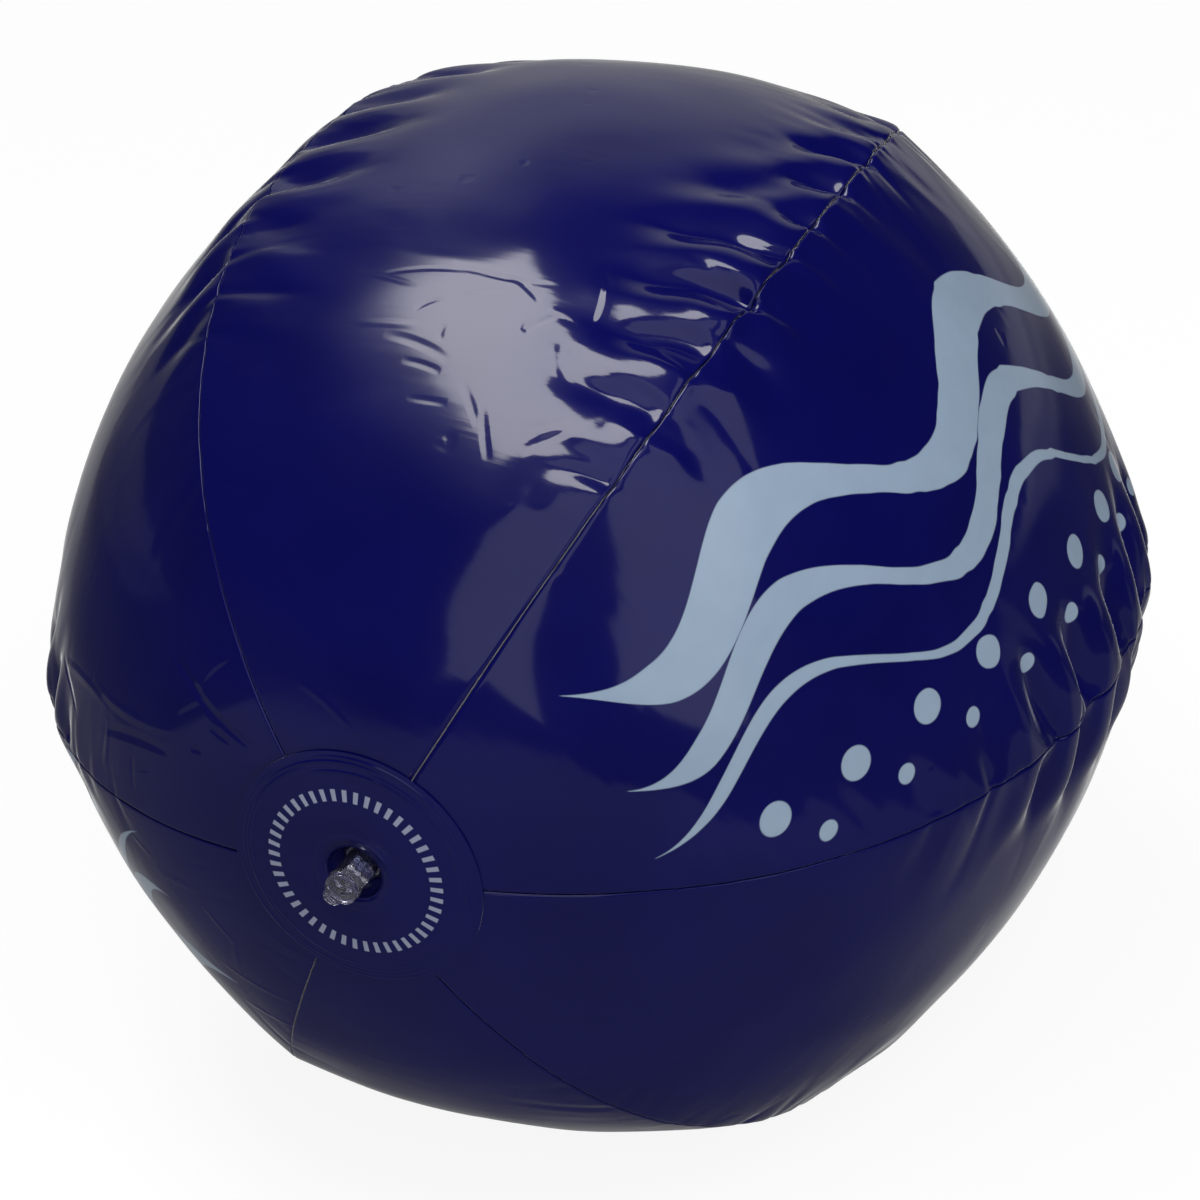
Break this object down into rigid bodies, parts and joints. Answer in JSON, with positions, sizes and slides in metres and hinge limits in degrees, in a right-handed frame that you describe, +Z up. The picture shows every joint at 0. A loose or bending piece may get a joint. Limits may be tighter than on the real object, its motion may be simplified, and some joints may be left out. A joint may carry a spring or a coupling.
{
  "type": "beach ball",
  "caption": "Inflatable beach ball of welded vinyl film panels, with an end disc on each pole and a push-in valve closed by a tethered stopper.",
  "frame": {"origin": "middle of the flat where the lowest panel rests, under the centre of the ball", "axes": "+Z up, +Y along the polar axis from the valve end to the blank end, +X to the right as the valve is faced"},
  "size_m": [0.2796, 0.2815, 0.2654],
  "materials": {
    "film": "glossy navy vinyl film with a pale blue print on two panels",
    "disc_film": "glossy navy vinyl film, embossed at the weld",
    "clear_vinyl": "clear moulded soft vinyl"
  },
  "bodies": {
    "ball": {"gore_1": "film", "gore_2": "film", "gore_3": "film", "gore_4": "film", "gore_5": "film", "gore_6": "film", "valve_end_disc": "disc_film", "blank_end_disc": "disc_film", "valve_flange": "clear_vinyl", "valve_sleeve": "clear_vinyl"},
    "stem": {"valve_stem": "clear_vinyl", "valve_strap": "clear_vinyl"},
    "plug": {"valve_plug": "clear_vinyl"},
    "flap": {"check_flap": "clear_vinyl"}
  },
  "joints": [
    {"name": "valve_push", "type": "slide", "parent": "ball", "child": "stem", "axis": [0, -1, 0], "range_m": [-0.008, 0.003], "deforming": ["valve_sleeve"]},
    {"name": "plug_pull", "type": "slide", "parent": "stem", "child": "plug", "axis": [0, -1, 0], "range_m": [0, 0.01], "deforming": ["valve_strap"]},
    {"name": "flap_swing", "type": "hinge", "parent": "stem", "child": "flap", "pos_m": [0, -0.1297, 0.13582], "axis": [1, 0, 0], "range_deg": [0, 60]}
  ]
}
